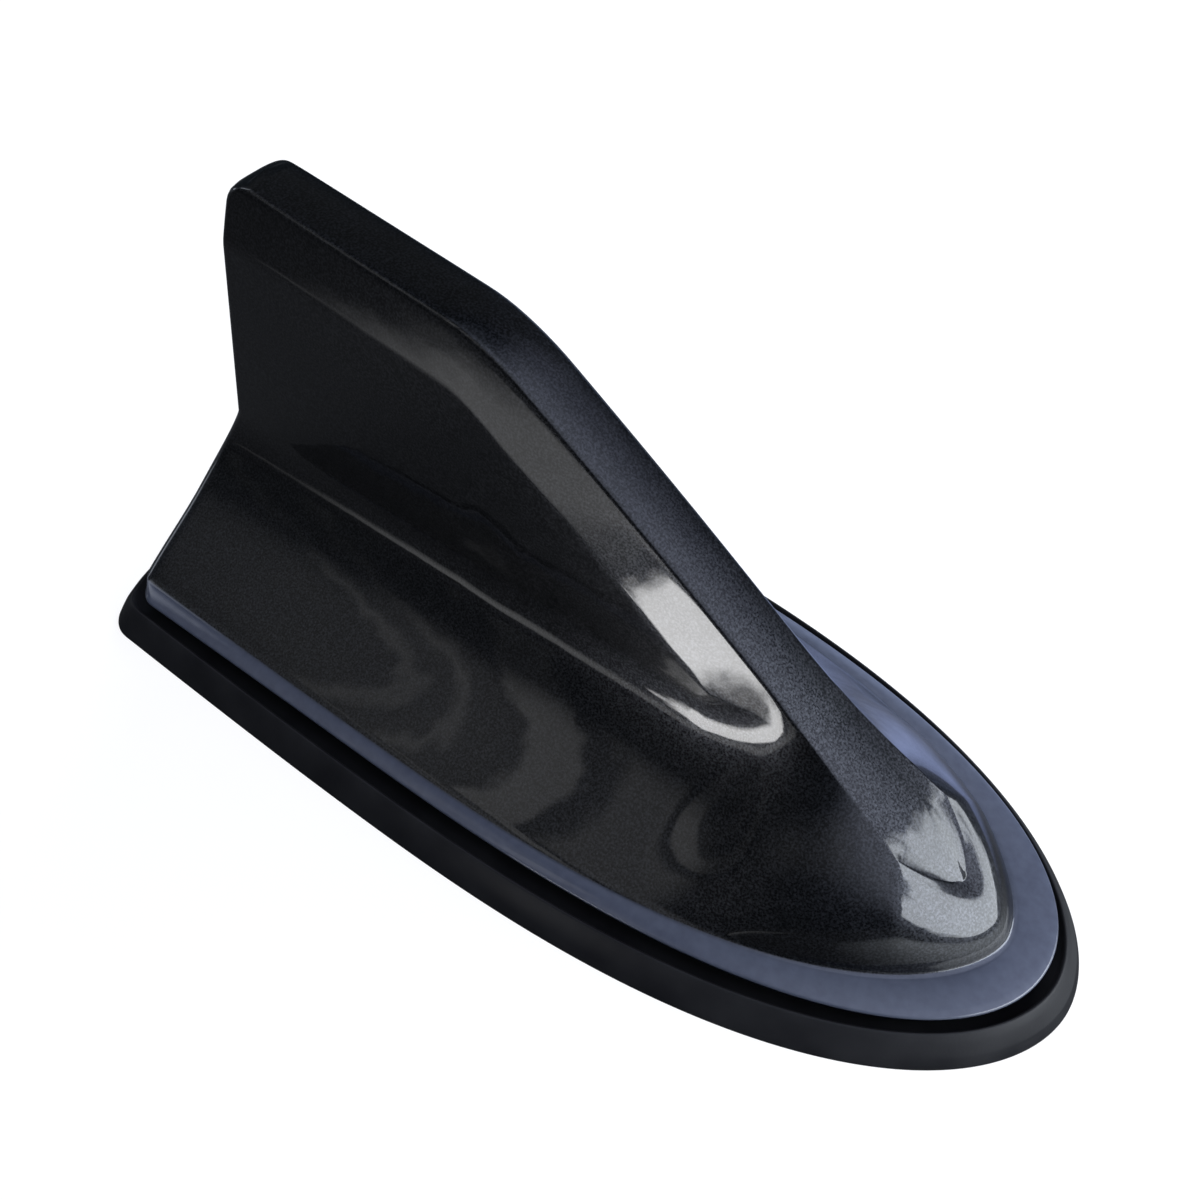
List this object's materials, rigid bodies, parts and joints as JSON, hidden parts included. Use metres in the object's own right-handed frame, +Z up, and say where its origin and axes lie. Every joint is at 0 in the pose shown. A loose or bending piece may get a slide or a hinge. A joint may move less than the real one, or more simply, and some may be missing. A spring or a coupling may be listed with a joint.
{
  "type": "shark fin aerial",
  "caption": "Swept fin aerial for a car roof: glossy painted cover on a rubber gasket, with amplifier board, wound radiator and satellite patch sealed inside.",
  "frame": {"origin": "centre of the gasket's underside, on the roof skin", "axes": "+X towards the rounded nose, which faces the front of the car; +Z up through the fin; Y across, with the fin's middle plane at y = 0"},
  "size_m": [0.1672, 0.0764, 0.0783],
  "materials": {
    "cover_paint": "gloss",
    "gasket_rubber": "satin",
    "base_plastic": "matt",
    "pad_foam": "matt",
    "screw_steel": "satin",
    "tinned_steel": "satin",
    "board_green": "gloss",
    "chip_black": "matt",
    "ferrite": "matt",
    "capacitor_ceramic": "matt",
    "former_plastic": "matt",
    "coil_copper": "gloss",
    "foam_grey": "matt",
    "socket_blue": "satin",
    "tape_white": "matt",
    "patch_ceramic": "matt",
    "patch_silver": "satin",
    "pin_brass": "satin"
  },
  "bodies": {
    "root": {"fin_cover": "cover_paint", "base_gasket": "gasket_rubber", "base_plate": "base_plastic", "adhesive_pad": "pad_foam", "cover_screws": "screw_steel", "ground_plate": "tinned_steel", "amplifier_board": "board_green", "shield_can": "tinned_steel", "amplifier_chip": "chip_black", "filter_coils": "ferrite", "board_capacitors": "capacitor_ceramic", "board_screws": "screw_steel", "coil_former": "former_plastic", "radiator_coil": "coil_copper", "top_plate": "tinned_steel", "anti_rattle_foam": "foam_grey", "radio_socket": "socket_blue", "satnav_board": "board_green", "patch_tape": "tape_white", "patch_ceramic": "patch_ceramic", "patch_face": "patch_silver", "feed_pin": "pin_brass", "satnav_socket": "socket_blue", "cable_grommet": "gasket_rubber"}
  },
  "joints": []
}
